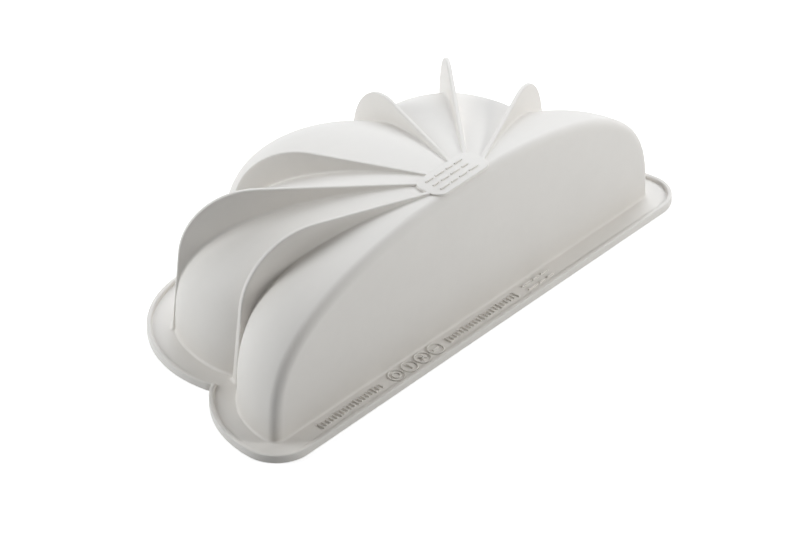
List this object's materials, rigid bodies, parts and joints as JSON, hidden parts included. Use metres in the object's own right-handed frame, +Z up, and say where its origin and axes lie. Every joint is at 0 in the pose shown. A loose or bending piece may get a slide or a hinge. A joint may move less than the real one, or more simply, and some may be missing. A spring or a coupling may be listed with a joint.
{
  "type": "cloud silicone mould",
  "caption": "Half-cloud silicone baking mould: lobed dome with a flat front wall, radiating fins, a flat crown pad and a beaded flange round its open underside.",
  "frame": {"origin": "middle of the bounding box at the level of the rim's underside, on which the mould lies dome up", "axes": "+X along the flat front wall, +Y from the front wall towards the lobes, +Z up from the rim to the crown"},
  "size_m": [0.2456, 0.1363, 0.064],
  "materials": {
    "silicone": "satin, fine matt grain, warm off-white"
  },
  "bodies": {
    "root": {"rim_flange": "silicone", "rim_bead": "silicone", "front_wall": "silicone", "lobe_left_end": "silicone", "lobe_left": "silicone", "lobe_back": "silicone", "lobe_right": "silicone", "lobe_right_end": "silicone", "fin_left_outer": "silicone", "fin_left_middle": "silicone", "fin_left_inner": "silicone", "fin_right_inner": "silicone", "fin_right_middle": "silicone", "fin_right_outer": "silicone", "crown_pad": "silicone"}
  },
  "joints": []
}
